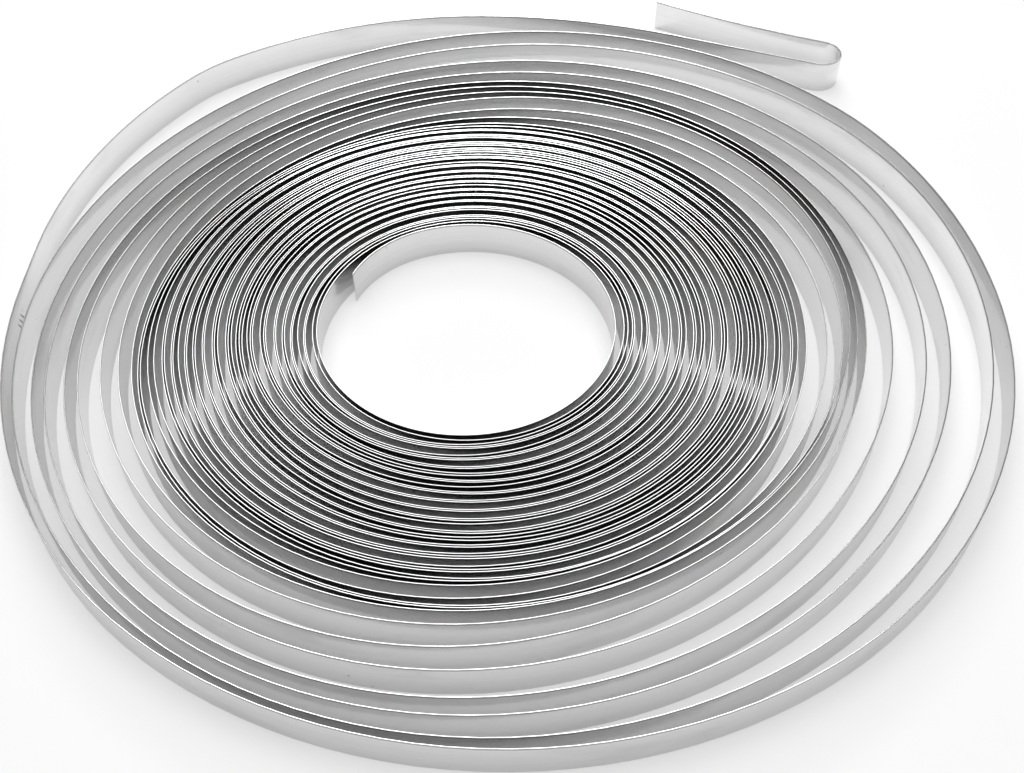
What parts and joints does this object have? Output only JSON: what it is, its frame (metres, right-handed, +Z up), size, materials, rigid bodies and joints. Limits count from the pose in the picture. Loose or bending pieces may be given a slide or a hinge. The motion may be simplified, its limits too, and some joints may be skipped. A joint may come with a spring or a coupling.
{
  "type": "steel coil",
  "caption": "Loose coil of thin bright steel strip wound on edge, lying flat, with an open bore, sprung outer turns and a hairpin bend at the outer end.",
  "frame": {"origin": "on the bore's axis, at the floor the coil lies on", "axes": "+Z up along the bore's axis, +X to the right of the picture, +Y to its back; the outer end's hairpin is at the back right"},
  "size_m": [0.1273, 0.1347, 0.005],
  "materials": {
    "steel": "bright cold-rolled, nickel plated"
  },
  "bodies": {
    "root": {"steel_strip": "steel"}
  },
  "joints": []
}
